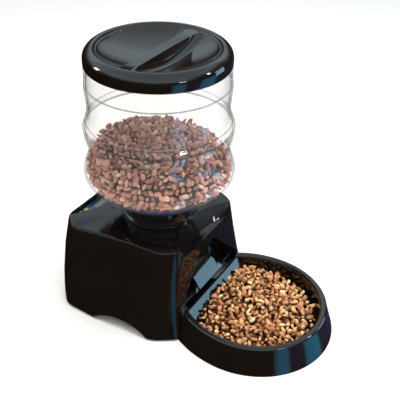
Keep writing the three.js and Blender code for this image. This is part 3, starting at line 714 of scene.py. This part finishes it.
def fill_bowl(centre, back):
    """Food heaped in the bowl, highest in the middle and under the chute."""

    def top(u, v):
        return BOWL_FOOD_EDGE + BOWL_FOOD_MOUND * (1 - u * u - v * v) + 6 * MM * v

    spots, shade_depths = [], []
    # Pieces below the top layer are darkened in pile as painted shade.
    for depth in (0, 1, 2):
        for u, v in sunflower(480):
            x = BOWL_FOOD_R * u * (1 + 0.07 * max(v, 0))
            y = centre.y + BOWL_FOOD_R * v * (BOWL_REAR if v > 0 else BOWL_FRONT)
            z = top(u, v) - BOWL_FOOD_LAYER * depth + rng.uniform(-0.0018, 0.0022)
            plate = back - PLATE_LIP - (BOWL_PLATE_TOP - z) * PLATE_LEAN
            if z < BOWL_FLOOR or y > plate - 3 * MM:
                continue
            x += rng.uniform(-0.002, 0.002)
            spots.append((x, y + rng.uniform(-0.002, 0.002), z))
            shade_depths.append(min(depth, 1))
    pile("kibble_bowl", spots, shade_depths, nodes["bowl"]["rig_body"], BOWL_FOOD)


# ---------------------------------------------------------------- assembly

TURNED = ("drum", "drum_ring", "neck_collar", "lid_seal")
for name in TURNED:
    if name == "drum":
        turned_piece(name, 0.1 * MM, DRUM_RIBS)
    else:
        turned_piece(name)
make_lid()
bowl_centre, bowl_back = make_bowl()
fill_drum()
fill_bowl(bowl_centre, bowl_back)
for name in nodes:
    if name not in TURNED + ("lid", "bowl"):
        if name == "housing":
            dressed(name, HOUSING_EDGE, finish="housing_black")
        else:
            dressed(name)

# ---------------------------------------------------------------- set


def camera():
    """At the front left of the feeder, looking down on it."""
    turn, rise, roll = math.radians(-59.66), math.radians(34.21), math.radians(1.35)
    back = Vector((
        math.sin(turn) * math.cos(rise), -math.cos(turn) * math.cos(rise), math.sin(rise)))
    right = Vector((math.cos(turn), math.sin(turn), 0))
    up = back.cross(right)
    target = AXIS + Vector((0, 0, 0.15336)) + right * 0.05767
    data = bpy.data.cameras.new("camera")
    data.sensor_width = 36
    data.lens = 62.56
    made = bpy.data.objects.new("camera", data)
    turned = Matrix((
        right * math.cos(roll) + up * math.sin(roll),
        up * math.cos(roll) - right * math.sin(roll), back)).transposed()
    made.matrix_world = Matrix.Translation(target + back * 1.014) @ turned.to_4x4()
    bpy.context.scene.collection.objects.link(made)
    bpy.context.scene.camera = made


def floor():
    """A pale floor that turns up into a pale wall all round, seen only directly,
    so that the glossy faces mirror the dark studio instead."""
    section = [(0, 0), (3.2, 0), (3.7, 0.06), (4.1, 0.3), (4.4, 0.8), (4.5, 1.5), (4.5, 5)]
    mesh = spin("floor", rounded_profile(section, False, 60, 6), False, Vector(), sides=96)
    mesh.shade_smooth()
    made = bpy.data.objects.new("floor", mesh)
    bpy.context.scene.collection.objects.link(made)
    material, tree, output = new_material("floor_pale")
    shader = node(tree, "BsdfPrincipled", Roughness=0.9)
    tree.links.new(ramp(tree, pattern(tree, 3, 2), [
        (0.3, (0.9, 0.84, 0.8)), (0.7, (0.91, 0.85, 0.81))]), shader.inputs["Base Color"])
    tree.links.new(shader.outputs["BSDF"], output.inputs["Surface"])
    mesh.materials.append(material)
    made.visible_glossy = False


def softbox(name, place, aim, size, power, color=(1, 1, 1), mirrored=True):
    data = bpy.data.lights.new(name, "AREA")
    data.shape = "RECTANGLE"
    data.size, data.size_y = size
    data.energy = power
    data.color = color
    made = bpy.data.objects.new(name, data)
    made.location = place
    made.visible_glossy = mirrored
    made.rotation_euler = (Vector(aim) - Vector(place)).to_track_quat("-Z", "Y").to_euler()
    bpy.context.scene.collection.objects.link(made)


def compass(tree, split):
    """0 to 1 once round the horizon, anticlockwise from -X."""
    around = node(tree, "Math", operation="ARCTAN2")
    tree.links.new(split.outputs["Y"], around.inputs[0])
    tree.links.new(split.outputs["X"], around.inputs[1])
    turn = node(tree, "MapRange")
    turn.inputs["From Min"].default_value = -math.pi
    turn.inputs["From Max"].default_value = math.pi
    tree.links.new(around.outputs[0], turn.inputs["Value"])
    return turn.outputs["Result"]


def ceiling(tree, height, turn):
    """Slate blue overhead, black at the horizon, dark towards the front right."""
    colours = ramp(tree, height, [
        (0.0, (0.008, 0.005, 0.004)), (0.22, (0.05, 0.07, 0.09)), (0.42, (0.8, 1.0, 1.1)),
        (0.56, (1.1, 1.3, 1.5)), (0.7, (0.85, 1.15, 1.35)), (1.0, (0.7, 0.85, 0.95))])
    open_side = ramp(tree, turn, [
        (0.0, 1.0), (0.22, 1.0), (0.27, 0.08), (0.44, 0.08), (0.5, 1.0), (1.0, 1.0)])
    overhead = ramp(tree, height, [(0.5, 0.0), (0.72, 1.0)])
    lit = node(tree, "Math", operation="MAXIMUM")
    tree.links.new(open_side, lit.inputs[0])
    tree.links.new(overhead, lit.inputs[1])
    shaded = node(tree, "MixRGB", blend_type="MULTIPLY")
    shaded.inputs["Fac"].default_value = 1
    tree.links.new(colours, shaded.inputs["Color1"])
    tree.links.new(lit.outputs[0], shaded.inputs["Color2"])
    return shaded.outputs["Color"]


def world():
    """A studio with a slate-blue ceiling, a brownish black room round it and
    teal cards below the horizon in front, which the glossy walls mirror."""
    made = bpy.data.worlds.new("studio")
    made.use_nodes = True
    tree = made.node_tree
    place = node(tree, "TexCoord")
    split = node(tree, "SeparateXYZ")
    tree.links.new(place.outputs["Generated"], split.inputs[0])
    height = split.outputs["Z"]
    turn = compass(tree, split)
    black, navy, teal = (0.006, 0.003, 0.002), (0.06, 0.06, 0.2), (0.12, 0.9, 1.5)
    dark_navy = (0.04, 0.04, 0.11)
    cards = ramp(tree, turn, [
        (0.0, black), (0.145, black), (0.165, teal), (0.2, teal), (0.215, navy), (0.27, navy),
        (0.285, teal), (0.345, teal), (0.37, dark_navy), (0.5, dark_navy), (0.62, black)])
    below = node(tree, "MapRange")
    below.inputs["From Min"].default_value = 0.0
    below.inputs["From Max"].default_value = -0.15
    tree.links.new(height, below.inputs["Value"])
    both = node(tree, "MixRGB")
    tree.links.new(below.outputs["Result"], both.inputs["Fac"])
    tree.links.new(ceiling(tree, height, turn), both.inputs["Color1"])
    tree.links.new(cards, both.inputs["Color2"])
    tree.links.new(both.outputs["Color"], tree.nodes["Background"].inputs["Color"])
    bpy.context.scene.world = made


camera()
floor()
world()
softbox("overhead", (0.1, -0.1, 1.7), (0, 0, 0.2), (0.9, 0.9), 30, (1, 0.94, 0.86), False)
softbox("rear_left", (-0.55, 1.45, 0.85), (0, 0, 0.3), (0.25, 0.35), 5)
softbox("front_left", (-0.62, -1.45, 0.78), (0, 0, 0.3), (0.3, 0.07), 2)
softbox("front_right", (0.75, -1.5, 1.2), (0, 0, 0.3), (0.12, 0.34), 5, (1, 0.95, 0.88))
softbox("teal_card", (1.1, -1.12, 0.42), (0, 0, 0.15), (0.55, 0.8), 6, (0.42, 0.76, 1))
bpy.context.scene.view_settings.view_transform = "Standard"
